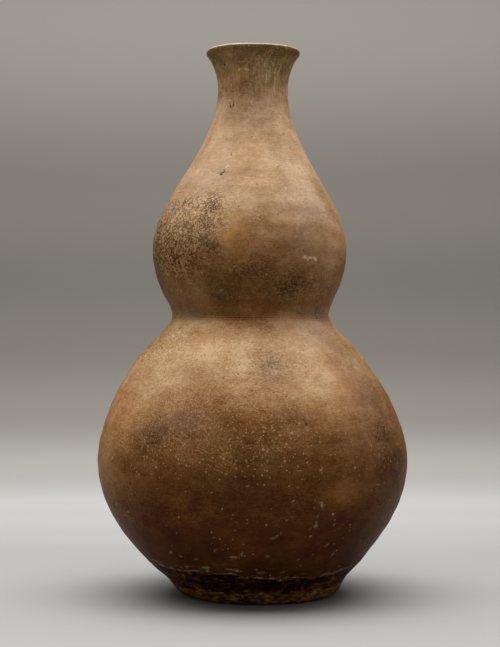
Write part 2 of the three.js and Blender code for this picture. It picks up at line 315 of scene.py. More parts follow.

# Soft spots that lighten or darken it: angle, height, half angle, half height, strength. The dark spots near
# 80 degrees either way, at -82 by 182, 82 by 185, -72 by 270, -80 by 282, -78 by 312, 82 by 345 and -82
# by 352, are painted shade on the far sides of the bulbs.
TONE_SPOTS = (
    # Above the foot.
    (45, 6, 26, 9, 0.12), (50, 17, 8, 4, 0.20), (-62, 18, 9, 8, 0.10), (66, 20, 9, 8, 0.12),
    (5, 21, 4, 1.5, 0.12), (-38, 22, 9, 3, 0.16),
    # Lower bulb.
    (9, 34, 14, 9, -0.10), (-44, 36, 10, 8, 0.05), (32, 55, 14, 12, -0.06), (-40, 60, 16, 16, -0.02),
    (-22, 85, 10, 11, 0.05), (0, 90, 8, 9, -0.05), (35, 92, 11, 11, 0.10), (-56, 97, 10, 14, 0.06),
    (-50, 97, 9, 12, 0.05), (-45, 97, 8, 12, 0.07), (31, 97, 13, 13, 0.08), (0, 103, 8, 6, -0.05),
    (-78, 105, 26, 52, 0.20), (12, 106, 10, 9, 0.04), (46, 106, 8, 9, -0.07), (-50, 110, 8, 10, -0.06),
    (-26, 112, 12, 16, 0.08), (62, 112, 8, 14, -0.10), (5, 122, 13, 15, -0.07), (-44, 126, 4, 5, -0.06),
    (26, 132, 9, 10, -0.02), (0, 135, 7, 8, -0.05), (-46, 136, 8, 8, -0.06), (-40, 136, 7, 13, -0.13),
    (26, 139, 8, 8, -0.05), (54, 139, 6, 9, -0.09), (14, 140, 10, 12, 0.07), (-28, 143, 8, 9, -0.06),
    (-2, 148, 12, 12, -0.05), (38, 148, 9, 10, -0.04), (-26, 150, 12, 14, 0.04), (-22, 150, 12, 8, -0.07),
    (15, 150, 7, 7, -0.08), (30, 150, 12, 22, 0.05), (-50, 158, 16, 34, 0.10), (-60, 163, 9, 10, -0.06),
    (33, 163, 7, 9, 0.06), (30, 165, 14, 18, 0.05), (15, 168, 8, 8, 0.05), (60, 168, 14, 18, -0.10),
    (-62, 178, 9, 14, -0.08), (-53, 178, 9, 9, -0.07), (-35, 178, 18, 18, 0.03), (30, 178, 9, 9, 0.04),
    (-82, 182, 13, 42, -0.08), (46, 182, 10, 14, -0.04), (82, 185, 13, 42, -0.10), (0, 188, 12, 20, 0.04),
    (-46, 190, 14, 16, 0.03), (-6, 190, 18, 16, 0.05), (9.5, 191, 9, 12, -0.09), (-45, 196, 12, 12, -0.10),
    (33, 196, 14, 15, 0.06), (44, 196, 9, 14, -0.06), (62, 196, 12, 22, -0.06), (-60, 198, 8, 22, -0.03),
    (-40, 200, 12, 12, 0.04), (-20, 202, 20, 14, 0.06), (54, 204, 18, 12, -0.14), (-28, 205, 12, 8, 0.04),
    (-76, 208, 12, 12, -0.08),
    # Waist.
    (-30, 216, 14, 5, -0.05), (20, 217, 12, 5, -0.04), (-45, 218, 9, 7, 0.05), (11, 219, 8, 5, -0.07),
    (-2, 224.5, 13, 4, -0.10), (-32, 225, 12, 4, 0.06), (38, 226, 22, 5, 0.03), (-76, 227, 10, 5, -0.06),
    (-47, 230, 16, 4, -0.10), (58, 230, 12, 6, -0.08),
    # Upper bulb.
    (-56, 235, 10, 6, -0.04), (-44, 242, 12, 6, -0.04), (-15, 246, 9, 5, -0.04), (20, 246, 9, 6, -0.05),
    (26, 252, 8, 7, -0.05), (75, 252, 14, 22, 0.05), (-8, 256, 15, 12, -0.05), (-48, 258, 14, 14, 0.05),
    (-60, 262, 10, 12, 0.05), (1, 263, 9, 8, -0.06), (-14, 266, 9, 9, 0.06), (16, 268, 10, 10, 0.06),
    (-6, 269, 7, 6, 0.04), (-72, 270, 14, 18, -0.06), (-47, 270, 10, 9, 0.04), (52, 272, 16, 20, 0.09),
    (-40, 279, 14, 7, -0.04), (3, 281, 9, 7, 0.06), (14, 281, 10, 7, -0.08), (-80, 282, 10, 24, -0.05),
    (-48, 282, 16, 8, 0.06), (40, 284, 24, 26, 0.05), (-20, 285, 7, 6, -0.07), (-13, 286, 5, 12, 0.10),
    (-60, 288, 20, 18, -0.04), (14, 292, 14, 10, -0.03), (45, 296, 9, 8, -0.08), (-10, 298, 9, 9, 0.05),
    (-40, 300, 22, 16, 0.05), (0, 302, 12, 14, -0.06), (40, 304, 14, 12, -0.05), (-13, 307, 9, 8, 0.05),
    (6, 308, 9, 8, -0.08), (15, 310, 10, 9, 0.03), (-15, 311, 8, 8, -0.05), (-78, 312, 16, 20, -0.09),
    (-12, 318, 12, 12, 0.05), (0, 325, 8, 9, 0.05), (38, 326, 14, 30, 0.05), (62, 332, 9, 18, -0.13),
    (-14, 336, 10, 20, -0.01), (-45, 342, 10, 14, -0.05), (82, 345, 12, 40, -0.08),
    (-82, 352, 12, 36, -0.07), (10, 358, 9, 12, 0.05), (30, 370, 9, 9, -0.07), (-62, 372, 9, 28, -0.09),
    (-46, 372, 14, 14, 0.03), (-48, 382, 12, 12, 0.04), (-15, 388, 8, 10, -0.05), (38, 388, 16, 12, 0.06),
    # Neck.
    (-40, 400, 22, 8, -0.05), (30, 400, 9, 7, -0.05), (-52, 404, 20, 14, 0.09), (46, 404, 22, 16, 0.11),
    (-12, 405, 16, 6, -0.05), (-4, 410, 8, 10, 0.04), (-8, 412, 22, 9, -0.05), (40, 420, 12, 6, -0.05),
    (-25, 427, 9, 8, 0.05), (50, 428, 12, 8, -0.09), (-52, 430, 16, 7, -0.02), (24, 436, 14, 8, 0.05),
    (-30, 437, 10, 5, -0.05), (-58, 438, 12, 6, -0.07), (20, 438, 14, 5, 0.07), (-15, 440, 12, 7, -0.10),
    (-30, 442, 8, 6, 0.06), (-68, 443, 14, 7, -0.04), (-10, 444, 12, 5, 0.03), (36, 446, 20, 5, -0.08),
    (0, 447, 30, 3, -0.06), (-62, 448, 18, 5, -0.10), (60, 448, 18, 5, -0.10),
    # The back, which the photograph does not show.
    (140, 60, 22, 16, 0.06), (-120, 90, 24, 24, 0.08), (150, 120, 30, 40, -0.05),
    (-140, 180, 26, 26, -0.10), (175, 205, 18, 14, -0.12), (118, 300, 22, 26, -0.10),
    (-150, 330, 24, 24, 0.04),
)

# Where soot lies in the pores of the surface.
SOOT_SPOTS = (
    # Lower bulb.
    (-62, 82, 10, 16, 0.22), (-50, 104, 8, 14, 0.22), (62, 112, 8, 12, 0.22), (-40, 134, 8, 11, 0.26),
    (53, 138, 6, 8, 0.26), (0, 150, 60, 30, 0.03), (-52, 188, 10, 12, 0.10), (-30, 190, 30, 24, 0.08),
    (9.5, 191, 9, 11, 0.42), (45, 195, 22, 32, -0.18), (-50, 200, 16, 14, 0.16), (-74, 206, 16, 16, 0.40),
    # Waist.
    (-50, 214, 12, 6, 0.12), (-60, 215, 30, 14, 0.14), (11, 221, 6, 4, 0.20), (-14, 223, 5, 3, 0.20),
    # Upper bulb.
    (-14, 246, 12, 6, 0.20), (20, 248, 12, 8, 0.22), (0, 250, 90, 16, 0.14), (26, 252, 8, 6, 0.30),
    (30, 262, 6, 6, 0.22), (-9, 265, 5, 5, 0.32), (2, 268, 10, 8, 0.34), (-52, 272, 22, 14, 0.55),
    (-22, 284, 6, 6, 0.30), (-36, 296, 16, 22, 0.55), (-62, 300, 24, 26, 0.62), (-80, 302, 14, 24, 0.35),
    (5, 308, 7, 6, 0.32), (-24, 312, 9, 13, 0.42), (-84, 315, 8, 16, 0.30), (-40, 318, 24, 8, 0.25),
    (-48, 321, 9, 5, 0.35), (-26, 321, 7, 5, 0.40), (-24, 350, 12, 10, 0.22),
    # Neck.
    (-34, 402, 4, 4, 0.34), (30, 428, 22, 10, 0.14), (-6, 438, 30, 8, 0.18), (-64, 443, 13, 7, 0.22),
    (34, 444, 22, 6, 0.16),
    # The back.
    (150, 110, 22, 26, 0.26), (-140, 180, 22, 22, 0.40), (175, 205, 16, 12, 0.42),
    (-110, 270, 16, 20, 0.34), (125, 296, 20, 22, 0.48), (180, 430, 30, 10, 0.36),
    (-130, 436, 40, 9, 0.40), (120, 436, 40, 9, 0.40),
)

# Orange blushes.
OCHRE_SPOTS = (
    # Above the foot.
    (-50, 5, 14, 6, 0.50), (40, 5, 16, 5, 0.40), (-4, 6, 26, 6, 0.60),
    # Lower bulb.
    (8, 34, 16, 9, 0.35), (-20, 66, 20, 16, 0.20), (-46, 80, 6, 5, 0.35), (12, 90, 22, 26, 0.25),
    (32, 95, 14, 14, 0.28), (-2, 118, 8, 8, 0.30), (-13, 124, 12, 10, 0.50), (-75, 150, 12, 40, 0.20),
    (-66, 150, 12, 30, 0.20), (36, 150, 14, 14, 0.22), (42, 160, 20, 45, 0.27), (46, 178, 10, 14, 0.28),
    # Upper bulb.
    (-2, 254, 5, 4, 0.30), (-6, 276, 4, 6, 0.80), (4, 284, 12, 10, 0.40), (-13, 286, 5, 12, 0.30),
    (-8, 294, 10, 11, 0.60), (69, 294, 4, 7, 0.55), (21, 299, 9, 7, 0.45),
    # Neck.
    (-19, 427, 9, 8, 0.75),
    # The back.
    (130, 150, 24, 30, 0.25), (-150, 260, 18, 16, 0.35), (160, 320, 18, 20, 0.20),
)

# Grey-green blooms of ash and dust.
ASH_SPOTS = (
    # Lower bulb.
    (-62, 88, 12, 20, 0.14), (66, 100, 10, 24, 0.14), (4, 126, 18, 13, 0.30), (-39, 136, 7, 12, 0.20),
    (-28, 143, 9, 9, 0.15), (16, 146, 8, 7, 0.25), (64, 190, 10, 20, 0.30), (9.5, 191, 9, 11, 0.15),
    (-47, 194, 22, 24, 0.35),
    # Waist.
    (-84, 225, 10, 8, 0.40), (-76, 227, 12, 6, 0.40), (56, 229, 12, 6, 0.50), (-48, 230, 16, 5, 0.50),
    # Upper bulb.
    (-60, 234, 14, 7, 0.30), (-15, 246, 12, 6, 0.30), (20, 246, 12, 7, 0.30), (-34, 249, 14, 10, 0.25),
    # The blooms at -66 by 270 and at -80 by 284 are painted shade: the shaded left edge of the upper bulb,
    # grey-green.
    (0, 251, 90, 14, 0.22), (-66, 270, 10, 16, 0.60), (-80, 284, 10, 24, 0.45), (-23, 286, 5, 4, 0.50),
    (-36, 300, 26, 20, 0.20), (40, 300, 10, 12, 0.22),
    # Neck.
    (0, 408, 30, 12, 0.22), (24, 418, 8, 10, 0.30), (16, 430, 12, 9, 0.25), (34, 430, 16, 10, 0.35),
    (52, 432, 22, 13, 0.50), (-56, 434, 20, 9, 0.55), (0, 443, 60, 9, 0.60),
    # The back.
    (-140, 150, 20, 24, 0.25), (150, 230, 20, 10, 0.40), (-120, 442, 60, 9, 0.50), (120, 442, 60, 9, 0.50),
)

# Where dust dulls the colour.
DUST_SPOTS = (
    (-40, 136, 7, 12, 0.20), (-26, 148, 11, 10, 0.30), (50, 170, 18, 50, 0.45), (-38, 185, 22, 18, 0.10),
    (9.5, 191, 9, 11, 0.40), (-160, 200, 30, 40, 0.40), (40, 215, 20, 10, 0.25), (56, 229, 12, 6, 0.50),
    (-46, 230, 14, 4, 0.50), (44, 318, 18, 16, 0.20), (-30, 340, 24, 20, 0.20),
)

# Where more grit shows, and how much shows at each height.
GRIT_SPOTS = ((0, 150, 40, 40, 0.50), (-4, 140, 14, 9, 0.25), (11, 146, 9, 7, 0.35))
GRIT_HEIGHTS = (
    (10, 0.02), (30, 0.03), (100, 0.11), (125, 0.95), (190, 0.85), (225, 0.12),
    (300, 0.1), (450, 0.15),
)

# Where a stiff brush dragged over the clay.
BRUSHED_SPOTS = ((-26, 134, 7, 6, 0.8), (-20, 126, 7, 6, 1.0), (-12, 117, 8, 6, 1.0))

# Pale flakes and scuffs: angle, height, half length, half width, turn.
SCUFFS = (
    # Lower bulb.
    (14, 30, 2.1, 0.9, 5), (1, 33, 1.7, 0.9, 0), (-27, 40, 2.5, 1.0, 10), (20, 40, 1.7, 0.9, 10),
    (-35, 41, 1.5, 1.1, 0), (38, 42, 3.6, 1.4, 85), (-40, 43, 3.2, 1.2, 15), (-9, 43, 5.6, 1.5, 2),
    (6, 44, 2.3, 1.4, -10), (27, 44, 1.7, 0.7, 0), (-5, 46, 2.6, 1.3, 70), (-16, 49, 2.5, 1.0, 0),
    (32, 51, 3.2, 1.0, 32), (-17, 54, 1.7, 0.8, 5), (-4, 54, 1.7, 0.9, -10), (39, 56, 1.1, 1.0, 0),
    (-8, 58, 1.3, 0.9, 90), (7.5, 59, 2.2, 1.2, 10), (23, 59, 1.6, 1.0, 45), (9, 60.5, 3.0, 1.0, 35),
    (41, 62, 1.0, 0.9, 30), (10.5, 63, 2.0, 0.8, 75), (22, 66, 1.9, 0.9, 20), (24, 68, 2.8, 2.0, 40),
    (32, 68, 1.6, 1.0, 35), (-2, 71, 1.0, 1.0, 0), (-6, 72, 2.3, 0.8, -8), (12, 73, 1.9, 0.9, 25),
    (-8, 75, 1.9, 0.7, -8), (14, 76, 1.1, 1.0, 0), (24, 76, 2.5, 1.0, 80), (-7, 78, 1.7, 0.8, -8),
    (25, 85, 4.3, 1.8, -64), (30, 86, 0.9, 0.9, 0), (14, 88, 1.8, 1.3, 60), (22, 88, 2.3, 0.9, 90),
    (-35, 96, 1.8, 0.8, 0), (-50, 98, 0.9, 0.9, 0), (-2, 100, 1.8, 1.0, 0), (39, 102, 1.5, 1.1, -30),
    (17, 105, 1.5, 0.9, 0), (-20, 111, 0.9, 0.9, 0), (24, 112, 4.4, 1.0, 98), (-6, 117, 2.0, 0.8, -35),
    (-2, 119, 1.2, 1.0, 20), (-40, 132, 1.0, 0.9, 0), (-16, 132, 1.0, 0.9, 0), (48, 133, 0.9, 0.9, 0),
    (-12, 134, 1.3, 0.8, 0), (-20, 135, 1.0, 0.9, 0), (-46, 138, 1.2, 0.9, 0), (14, 140, 1.3, 1.1, 0),
    (59, 140, 1.4, 0.9, 90), (6, 142, 0.9, 0.8, 0), (7, 145, 1.2, 1.1, 0), (12, 146, 1.7, 0.7, 0),
    (58, 150, 1.3, 1.1, 30),
    # Upper bulb.
    (-8, 268, 1.1, 1.0, 0), (36, 296, 1.0, 1.0, 0), (40, 306, 1.7, 0.9, 0), (54, 312, 2.1, 0.9, 5),
    (40, 322, 1.1, 0.8, 0), (38, 330, 1.5, 1.1, 80), (25, 332, 1.4, 1.3, 0), (32, 332, 1.4, 1.0, 90),
    (24, 336, 1.0, 0.8, 0), (44, 340, 1.0, 0.9, 0), (21, 361, 0.6, 2.6, 12), (17, 372, 0.6, 1.8, 10),
    (5, 388, 0.7, 1.4, 0), (6, 394, 1.0, 0.9, 0),
    # Neck.
    (-2, 406, 2.6, 0.7, 88), (1, 408, 1.8, 0.7, 120), (-23, 422, 1.1, 0.8, 90), (-32, 423, 0.9, 0.8, 0),
    (22, 426, 5.8, 0.8, 86), (71, 430, 2.8, 0.7, 90), (44, 431, 4.8, 0.7, 80), (-11, 431.2, 3.2, 0.9, -14),
    (-21, 431.6, 3.4, 0.9, 10), (18, 435, 3.2, 0.7, 100), (32, 436, 2.8, 0.6, 88),
    # The back.
    (175, 52, 2.6, 1.4, -20), (-130, 58, 2.2, 1.2, -30), (100, 60, 2.4, 1.1, 10), (135, 66, 2.0, 1.0, 0),
    (-100, 70, 1.8, 1.0, 60), (-160, 74, 2.6, 1.0, 20), (120, 80, 3.0, 1.3, 40), (160, 92, 1.6, 1.2, 0),
    (95, 120, 1.4, 1.2, 0), (-115, 130, 1.4, 1.0, 0), (-165, 140, 1.6, 1.0, 30), (145, 150, 1.3, 1.1, 0),
    (-150, 300, 1.8, 0.9, 10), (110, 330, 1.4, 1.0, 0), (130, 420, 3.6, 0.7, 88),
    (-120, 424, 3.0, 0.7, 92),
)

# A white squiggle on the upper bulb, where something scraped the clay clean, with the same columns.
SQUIGGLE = (
    (33.2, 275.6, 2.7, 1.5, -6), (37.2, 275.3, 3.1, 1.3, 10), (40.9, 274.5, 3.3, 1.6, -40),
    (35.2, 273.7, 1.4, 0.9, -40),
)

# Small pits and iron spots, with the same columns.
PITS = (
    # Lower bulb.
    (-42, 78, 1.1, 0.8, 0), (20, 146, 1.2, 1.3, 0),
    # Waist.
    (-52, 220, 2.2, 0.6, 20), (55, 228, 1.3, 0.8, 0),
    # Upper bulb.
    (-20, 240, 1.0, 0.8, 0), (41, 252, 1.0, 0.8, 0), (29, 254, 1.3, 1.2, 0), (26, 266, 2.6, 0.6, -10),
    (37.4, 273.4, 1.4, 0.7, 0), (6, 306, 0.9, 0.8, 0), (-24.5, 343.4, 2.0, 1.3, 20),
    (-22.5, 345.4, 1.4, 0.7, 45), (-20, 360, 0.5, 1.9, 10),
    # Neck.
    (-36, 401, 0.8, 0.8, 0), (-36.5, 402, 0.5, 1.5, 10), (-32, 402, 0.9, 0.8, 0),
    (-31, 403.5, 0.5, 1.6, 0), (-46, 436, 1.4, 0.8, 90), (4, 442, 0.5, 0.6, 0), (8, 442, 0.4, 0.5, 0),
    # The back.
    (-155, 96, 1.2, 1.0, 0), (134, 170, 1.2, 1.2, 0), (-125, 210, 1.1, 1.0, 0), (100, 350, 1.1, 1.0, 0),
)

# Where the trimming tool stopped above the foot: angle and height of the ragged ridge.
RIDGE = (
    (-180, 25), (-150, 27), (-115, 24.5), (-85, 27), (-60, 29), (-46, 28), (-30, 29), (-12, 28.4),
    (-2, 25.6), (8, 24.4), (20, 24.6), (30, 23.6), (46, 24.6), (58, 27), (85, 28), (115, 25), (150, 26.5),
    (180, 25),
)


def ridge_height(angle, points):
    """Height of the ragged ridge above the foot: the listed places joined up, with a tremor."""
    return np.interp(angle, *zip(*RIDGE)) + 0.7 * layered_noise(points * [1, 1, 0], 9, 61)


def crease_height(angle):
    """Height of the crease where the upper bulb was set on the lower one."""
    radians = np.radians(angle)
    return WAIST - 2.1 - 0.5 * np.sin(radians * 2 + 0.3) + 0.25 * np.sin(radians * 5)


def crease(angle, height, points):
    """The crease as a field from 0 to 1: four narrow bells over the height, deepest at the front left."""
    deepest = blots(angle, height, ((-10, WAIST - 2, 13, 9, 0.6),))
    depth = 0.2 + 0.3 * lattice_noise(points, 14, 62) + deepest
    middle = crease_height(angle) + 0.5 * lattice_noise(points, 9, 63)
    strands = sum(
        share * np.exp(-((height - middle - rise) / 0.5) ** 2)
        for rise, share in ((0, 1), (1.9, 0.8), (3.7, 0.5), (-1.8, 0.5))
    )
    return np.clip(depth, 0, 1) * strands


def trimmed_foot(points, angle, height):
    """What trimming and wear left above the foot, with a painted highlight along the ridge, as four fields.

    band is 1 on the dark clay between the heel and the ridge, worn is 1 on the heel, islands is the noise
    that mottles the band, and the last is above 0 on the broken lines of bared clay: two at the ridge, which
    also paint the highlight along its top, one above it on the left, and one at the brim of the heel.
    """
    flattened = points * [1, 1, 2.2]
    ridge = ridge_height(angle, points)
    brim = 9.8 + 3.2 * layered_noise(points * [1, 1, 0], 13, 64)
    band = step(ridge - height, -0.2, 0.9) * step(height, brim, brim + 1.6)
    islands = layered_noise(points * [1, 1, 1.8], 5, 65)
    worn = step(brim - height, 0, 1)
    above = height - ridge
    wide = 2.0 + 1.3 * lattice_noise(points, 8, 66)
    stray = above - 4.2 - 1.2 * lattice_noise(points, 13, 68)
    left_only = step(wrapped(angle), -10, 25)
    bared_and_highlit = np.maximum.reduce(
        [
            # The two lines at the ridge: bared clay along its top, and a painted highlight there.
            broken_line(above - 0.6, wide, 0.6 + 1.7 * layered_noise(flattened, 5, 67)),
            broken_line(above - 0.3, 0.7, 0.25 + 1.1 * layered_noise(points, 9, 70)),
            broken_line(stray, 1.3, 0.55 + 1.9 * layered_noise(flattened, 6, 69) + left_only),
            broken_line(height - brim - 0.4, 0.8, 0.75 + 1.5 * layered_noise(points, 6, 60)),
        ]
    )
    return band, worn, islands, bared_and_highlit


def masks(points, angle, height, radius):
    """The finish of the outside as named fields over the surface, from 0 to 1 apart from the marks.

    tone is how light the clay is, with painted shade in the waist's crease and on the bulbs' far sides; the
    others are how much of each stain or wear lies there, the lip's wear with a painted highlight and the
    scuffs with the ridge's painted highlight. The marks' fields are above 0 inside a mark. A stain is its
    soft spots, plus a base, plus a noise of a size and a seed.
    """

    def stain(spots, base, share, size, seed):
        return np.clip(base + blots(angle, height, spots) + share * layered_noise(points, size, seed), 0, 1)

    drift = height + 7 * layered_noise(points, 55, 21) * step(height, 30, 60)
    tone = np.interp(drift, *zip(*TONES)) + blots(angle, height, TONE_SPOTS)
    tone += 0.07 * layered_noise(points, 48, 22) + 0.05 * layered_noise(points, 15, 23)
    band, worn, islands, bared_and_highlit = trimmed_foot(points, angle, height)
    tone += band * (-0.17 + 0.5 * islands) + worn * 0.28 * layered_noise(points * [1, 1, 1.5], 5, 59)
    tone += (band + worn) * 0.28 * lattice_noise(points * [1, 1, 2], 2.6, 55)
    crown = 0.5 + blots(angle, height, ((-8, TOP, 45, 9, 0.6),)) + 0.3 * layered_noise(points, 18, 58)
    seam = crease(angle, height, points)
    dusty = step(height, 222, 290) * (0.3 + 0.7 * step(tone, 0.55, 0.9))
    gritty = stain(GRIT_SPOTS, 0.38, 0.35, 40, 27) * np.interp(height, *zip(*GRIT_HEIGHTS))
    return {
        # Along the crease's lines the tone is darkened: painted shade. The ochre field below reddens them as
        # well.
        "tone": tone - 0.36 * seam,
        "smoke": stain(SOOT_SPOTS, 0.07 - 0.05 * step(height, 190, 240), 0.2, 26, 24),
        "ochre": stain(OCHRE_SPOTS, 0.6 * seam + band * islands, 0.25, 30, 25),
        "ash": stain(ASH_SPOTS, 0.1 * step(height, 225, 300), 0.2, 34, 26),
        "dust": stain(DUST_SPOTS, 0.24 * dusty, 0.2 * dusty, 40, 57)
        * (1 - np.clip(blots(angle, height, OCHRE_SPOTS), 0, 0.9)),
        "grit": gritty * (1 - blots(angle, height, ((42, 155, 26, 62, 0.95),))),
        "streak": step(height, 398, 416) * (0.9 + blots(angle, height, ((44, 430, 26, 18, 0.9),))),
        "brushed": blots(angle, height, BRUSHED_SPOTS),
        # The lip's crown: worn clay, and a painted highlight along it.
        "crown_wear_and_highlight": np.clip(step(height, TOP - 1.1, TOP - 0.5) * crown, 0, 1),
        "scuff": np.maximum(marks(angle, height, radius, SCUFFS), bared_and_highlit),
        "pit": marks(angle, height, radius, PITS),
        "scraped": 0.95 * step(marks(angle, height, radius, SQUIGGLE), 0, 0.45),
    }


# How far each wave of the surface climbs in one turn, which is also its spacing.
RIPPLE_PITCH, FINE_RIPPLE_PITCH, GROOVE_PITCH, TURNING_PITCH = 15, 6.4, 11, 4.4


def relief(points, angle, height):
    """How far the real surface stands out from the smooth one, in millimetres.

    It sums throwing ripples that climb in a helix, dents left by the hand, rings a little out of round, the
    crease of the waist seam, the trimming ridge above the foot with the hollow under it, and chips at the
    heel. The wall's own fullness and sway come first.
    """
    sizes = bpy.context.scene.vase_surface
    radians = np.radians(angle)
    sway = FULLER(height) + SWAYED(height) * np.sin(radians)
    strength = 0.6 + 0.4 * lattice_noise(points, 60, 11)
    out = sizes.ripple * strength * np.sin(TURN * (height / RIPPLE_PITCH + angle / 360))
    fine = sizes.ripple * 0.5 * lattice_noise(points, 45, 12)
    out += fine * np.sin(TURN * (height / FINE_RIPPLE_PITCH + angle / 360))
    out += sizes.dent * layered_noise(points, 34, 13)
    out += sizes.wobble * (np.cos(2 * radians + height / 70) + np.cos(3 * radians - height / 45)) / 2
    out -= 0.5 * crease(angle, height, points)
    ridge = ridge_height(angle, points)
    below = step(ridge - height, -0.3, 0.8) * step(height, ANKLE - 1, ANKLE + 5)
    lump = np.exp(-((height - ridge - 0.5) / 0.9) ** 2)
    out += 0.5 * lump * (0.6 + 0.8 * layered_noise(points, 7, 15)) - 0.15 * below
    chips = np.clip(layered_noise(points, 9, 16) - 0.3, 0, 1) * step(ANKLE - height, 0, 4)
    return (out - 2 * chips) * step(height, 0, 1.5) + sway


# Where the fine rows lie, as lowest height, greatest height and spacing: ridge, waist, white squiggle, lip.
FINE_ROWS = (
    (ANKLE, ANKLE + 22, 0.7), (WAIST - 6, WAIST + 3, 0.6), (270, 279, 0.8), (LIP_SEAM - 4, TOP, 0.7),
)

# How far the rows next to a seam lie from it, and the steps of the ladder that measures the surface.
SEAM_ROW = 0.08
LADDER_STEPS = 2000


def row_heights(curve, low, high, spacing, fine=()):
    """Heights for the grid's rows along a curve of radius over height, evenly spaced along the surface.

    The surface's length is summed on a dense ladder, counted more where rows are to be finer, and even
    steps of that sum are turned back to heights. A row close to each end keeps the seam's shading even.
    """
    ladder = np.linspace(low, high, LADDER_STEPS)
    pace = np.hypot(1, curve(ladder, slope=True)) / spacing
    for start, end, cell in fine:
        pace = np.where((ladder > start) & (ladder < end), pace * spacing / cell, pace)
    count = np.concatenate([[0], np.cumsum((pace[1:] + pace[:-1]) / 2 * np.diff(ladder))])
    rows = np.interp(np.linspace(0, count[-1], int(np.ceil(count[-1])) + 1), count, ladder)
    return np.concatenate([[low, low + SEAM_ROW], rows[1:-1], [high - SEAM_ROW, high]])


def run(radius, height, out_radial, out_up, shown=0.0, bare=0.0):
    """A stretch of a section as six rows: radius, height, outward direction, relief's share, bareness."""
    return np.stack(np.broadcast_arrays(radius, height, out_radial, out_up, shown, bare)).astype(float)


def wall_run(curve, heights, side, shown, bare):
    """A stretch along one side of the wall. Its outward direction is square to the curve, on that side."""
    slope = curve(heights, slope=True)
    steep = np.hypot(1, slope)
    return run(curve(heights), heights, side / steep, -side * slope / steep, shown, bare)


def coil_clearance(height):
    """1 where the inside of the wall is free, falling to 0 over 8 mm behind the luting coils."""
    clear = np.ones_like(height)
    for node in COIL_NODES:
        low, high = (corner[2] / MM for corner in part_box(node))
        clear *= 1 - step(height, low - 8, low) * step(-height, -high - 8, -high)
    return clear


def ring_angles():
    """Angles of the grid's columns: even steps, each moved to the front by a share of its sine."""
    sizes = bpy.context.scene.vase_surface
    even = np.arange(sizes.columns) * TURN / sizes.columns - np.pi
    return np.degrees(even - sizes.front * np.sin(even))


# How much taller the mouth flares up than the evenly turned one, and how far below the lip that starts.
MOUTH_RISE, MOUTH_REACH = 1.3, 16


def ring_place(radius, height, angle):
    """Points on rings of the pot: the ring's centre, plus the radius towards the angle, at its height."""
    radians = np.radians(angle)
    up = height + MOUTH_RISE * step(height, LIP_SEAM - MOUTH_REACH, TOP)
    return np.stack([CENTRE(height) + radius * np.sin(radians), -radius * np.cos(radians), up], -1)


def ring_solid(name, runs, material, smooth_joins=()):
    """A closed ring: a section of runs carried once round the pot, with its relief and its finish.

    The runs go up the outside and back down the inside. Where the relief is shown, it moves a point along
    the outward direction. Inside the wall, finger grooves are cut into it: a wave of the height, least 0.
    The faces between runs are flat rims, apart from the joins named as smooth.
    """
    sizes = bpy.context.scene.vase_surface
    section = np.concatenate(runs, axis=1)
    angle, row = np.meshgrid(ring_angles(), np.arange(section.shape[1]))
    radius, height, out_radial, out_up, shown, bare = section[:, row]
    place = ring_place(radius, height, angle)
    fields = masks(place, angle, height, radius)
    for key in ("scuff", "pit"):
        fields[key] = np.where(shown > 0, fields[key], -1.0)
    for key in ("smoke", "ochre", "ash", "dust", "streak", "brushed"):
        fields[key] = fields[key] * (1 - bare)
    fields["bare"] = bare
    flaked = sizes.flake * step(fields["scuff"], -0.1, 0.4) + sizes.pit * step(fields["pit"], -0.2, 0.7)
    climb = height / GROOVE_PITCH + angle / 360 + lattice_noise(place, 40, 71) / TURN
    free = coil_clearance(height) * bare * (out_radial < 0) * step(TOP - height, 6, 30)
    lift = shown * (relief(place, angle, height) - flaked) - sizes.groove * wave(climb) * free
    radians = np.radians(angle)
    place[..., 0] += lift * out_radial * np.sin(radians)
    place[..., 1] -= lift * out_radial * np.cos(radians)
    place[..., 2] += lift * out_up
    joins = np.cumsum([stretch.shape[1] for stretch in runs]) - 1
    flat = [join for k, join in enumerate(joins) if k not in smooth_joins]
    return grid_object(name, place, fields, material, flat)


def mesh_object(name, points, faces, material):
    """A smooth mesh object at the origin, from points in millimetres, in the scene."""
    mesh = bpy.data.meshes.new(name)
    mesh.from_pydata(points * MM, [], faces)
    mesh.polygons.foreach_set("use_smooth", np.ones(len(faces), bool))
    mesh.materials.append(material)
    made = bpy.data.objects.new(name, mesh)
    bpy.context.scene.collection.objects.link(made)
    return made


def grid_object(name, place, fields, material, flat_rows=(), poles=None):
    """A mesh object from a grid of places, with the fields as vertex attributes.

    The grid closes round the pot. It closes from the last row to the first as well or, on a piece without
    fields, at two poles.
    """
    rows, columns = place.shape[:2]
    index = np.arange(rows * columns).reshape(rows, columns)
    up, along = np.roll(index, -1, 0), np.roll(index, -1, 1)
    quads = np.stack([index, along, np.roll(up, -1, 1), up], -1)
    smooth = np.ones((rows, columns), bool)
    smooth[list(flat_rows)] = False
    points = place.reshape(-1, 3)
    faces = quads.reshape(-1, 4).tolist()
    if poles is not None:
        first, last = len(points), len(points) + 1
        points = np.concatenate([points, poles])
        fans = [(b, a, first) for a, b in zip(index[0], along[0])]
        fans += [(a, b, last) for a, b in zip(index[-1], along[-1])]
        faces = quads[:-1].reshape(-1, 4).tolist() + fans
        smooth = np.ones(len(faces), bool)
    piece = mesh_object(name, points, faces, material)
    mesh = piece.data
    mesh.polygons.foreach_set("use_smooth", smooth.ravel())
    for key, value in fields.items():
        attribute = mesh.attributes.new(key, "FLOAT", "POINT")
        attribute.data.foreach_set("value", value.astype(np.float32).ravel())
    mesh.update()
    mesh.validate()
    return piece


